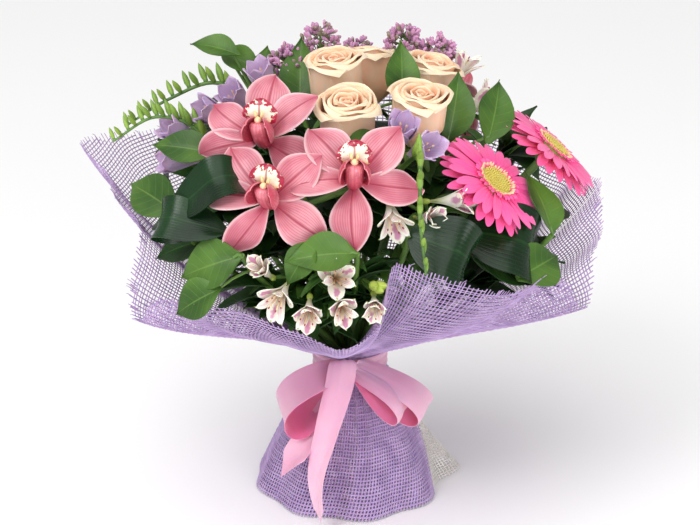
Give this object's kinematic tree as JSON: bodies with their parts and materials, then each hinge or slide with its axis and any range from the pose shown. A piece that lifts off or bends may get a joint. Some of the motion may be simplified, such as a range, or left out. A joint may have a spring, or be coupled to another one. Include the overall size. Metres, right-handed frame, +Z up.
{
  "type": "mixed flower bouquet",
  "caption": "Hand-tied bouquet of roses, orchids, gerberas, freesias, lilac, alstroemerias and greenery, standing in a flared net wrap tied with a satin bow.",
  "frame": {"origin": "on the ground under the waist, in the flat cut end of the middle stem", "axes": "+Z up along the bundle of stems, -Y to the front where the bow is, +X to the right"},
  "size_m": [0.3805, 0.331, 0.3539],
  "materials": {
    "lilac_net": "matte",
    "white_net": "matte",
    "satin_ribbon": "satin",
    "jute_twine": "matte",
    "rose_petal": "matte",
    "green_stem": "satin",
    "orchid_tepal": "satin",
    "orchid_lip": "satin",
    "gerbera_ray": "matte",
    "gerbera_disc": "matte",
    "freesia_mauve": "matte",
    "lilac_bud": "matte",
    "alstroemeria_cream": "matte",
    "salal_leaf": "satin",
    "aspidistra_leaf": "gloss"
  },
  "bodies": {
    "root": {"net_wrap": "lilac_net", "net_lining": "white_net", "ribbon_bow": "satin_ribbon", "binding_twine": "jute_twine", "rose_front_stem": "green_stem", "rose_right_stem": "green_stem", "rose_top_stem": "green_stem", "rose_top_right_stem": "green_stem", "rose_far_right_stem": "green_stem", "rose_back_stem": "green_stem", "gerbera_front_stem": "green_stem", "gerbera_right_stem": "green_stem", "gerbera_back_stem": "green_stem", "orchid_spike_front": "green_stem", "orchid_spike_back": "green_stem", "rose_front_bloom": "rose_petal", "rose_right_bloom": "rose_petal", "rose_top_bloom": "rose_petal", "rose_top_right_bloom": "rose_petal", "rose_far_right_bloom": "rose_petal", "rose_back_bloom": "rose_petal", "orchid_upper_lip": "orchid_lip", "orchid_lower_lip": "orchid_lip", "orchid_middle_lip": "orchid_lip", "orchid_back_right_lip": "orchid_lip", "orchid_upper_tepals": "orchid_tepal", "orchid_lower_tepals": "orchid_tepal", "orchid_middle_tepals": "orchid_tepal", "orchid_back_right_tepals": "orchid_tepal", "gerbera_front_disc": "gerbera_disc", "gerbera_right_disc": "gerbera_disc", "gerbera_back_disc": "gerbera_disc", "gerbera_front_rays": "gerbera_ray", "gerbera_right_rays": "gerbera_ray", "gerbera_back_rays": "gerbera_ray", "freesia_left_spray": "freesia_mauve", "freesia_upper_left_spray": "freesia_mauve", "freesia_middle_spray": "freesia_mauve", "alstroemeria_right_spray": "alstroemeria_cream", "alstroemeria_middle_spray": "alstroemeria_cream", "alstroemeria_left_spray": "alstroemeria_cream", "alstroemeria_front_spray": "alstroemeria_cream", "lilac_left_panicle": "lilac_bud", "lilac_right_panicle": "lilac_bud", "lilac_back_panicle": "lilac_bud", "salal_top_left_spray": "salal_leaf", "salal_top_spray": "salal_leaf", "salal_top_right_spray": "salal_leaf", "salal_left_spray": "salal_leaf", "salal_lower_left_spray": "salal_leaf", "salal_front_spray": "salal_leaf", "salal_right_spray": "salal_leaf", "salal_back_right_spray": "salal_leaf", "salal_back_left_spray": "salal_leaf", "aspidistra_left_leaf": "aspidistra_leaf", "aspidistra_lower_left_leaf": "aspidistra_leaf", "aspidistra_middle_leaf": "aspidistra_leaf", "aspidistra_right_leaf": "aspidistra_leaf", "aspidistra_back_leaf": "aspidistra_leaf"}
  },
  "joints": []
}
